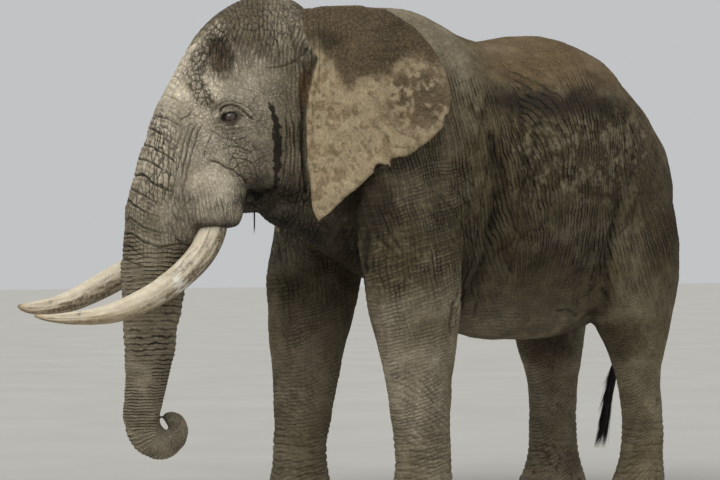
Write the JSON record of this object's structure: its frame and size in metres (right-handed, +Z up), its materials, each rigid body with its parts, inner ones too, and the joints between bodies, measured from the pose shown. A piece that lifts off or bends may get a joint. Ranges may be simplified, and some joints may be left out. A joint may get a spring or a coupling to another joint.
{
  "type": "elephant",
  "caption": "Standing bull savanna elephant, life size: head turned a little, ears half spread, long tusks reaching forward, trunk hanging with its tip curled up.",
  "frame": {"origin": "on the floor, under the middle of the box around the whole animal", "axes": "-Y is the way the body walks and faces, +X is the animal's left, +Z up; the four soles stand at z = 0"},
  "size_m": [1.6298, 4.8844, 3.3586],
  "materials": {
    "elephant_skin": "dry, wrinkled and dusty, matt",
    "ear_skin": "dry, thin and faintly folded, matt",
    "ivory": "smooth, stained and scratched, satin",
    "toenail_horn": "worn horn, matt",
    "eyeball": "wet and glossy",
    "tail_hair": "coarse hair, matt"
  },
  "bodies": {
    "root": {"barrel": "elephant_skin", "ear_left": "ear_skin", "ear_right": "ear_skin", "eye_left": "eyeball", "eye_right": "eyeball", "front_foot_left": "elephant_skin", "front_foot_right": "elephant_skin", "front_leg_lower_left": "elephant_skin", "front_leg_lower_right": "elephant_skin", "front_leg_upper_left": "elephant_skin", "front_leg_upper_right": "elephant_skin", "head": "elephant_skin", "hind_foot_left": "elephant_skin", "hind_foot_right": "elephant_skin", "hind_leg_lower_left": "elephant_skin", "hind_leg_lower_right": "elephant_skin", "hind_leg_upper_left": "elephant_skin", "hind_leg_upper_right": "elephant_skin", "lower_jaw": "elephant_skin", "neck": "elephant_skin", "rump": "elephant_skin", "shoulders": "elephant_skin", "tail": "elephant_skin", "tail_tuft": "tail_hair", "toenail_front_left_1": "toenail_horn", "toenail_front_left_2": "toenail_horn", "toenail_front_left_3": "toenail_horn", "toenail_front_left_4": "toenail_horn", "toenail_front_right_1": "toenail_horn", "toenail_front_right_2": "toenail_horn", "toenail_front_right_3": "toenail_horn", "toenail_front_right_4": "toenail_horn", "toenail_hind_left_1": "toenail_horn", "toenail_hind_left_2": "toenail_horn", "toenail_hind_left_3": "toenail_horn", "toenail_hind_right_1": "toenail_horn", "toenail_hind_right_2": "toenail_horn", "toenail_hind_right_3": "toenail_horn", "trunk_lower": "elephant_skin", "trunk_middle": "elephant_skin", "trunk_tip": "elephant_skin", "trunk_upper": "elephant_skin", "tusk_left": "ivory", "tusk_right": "ivory"}
  },
  "joints": []
}
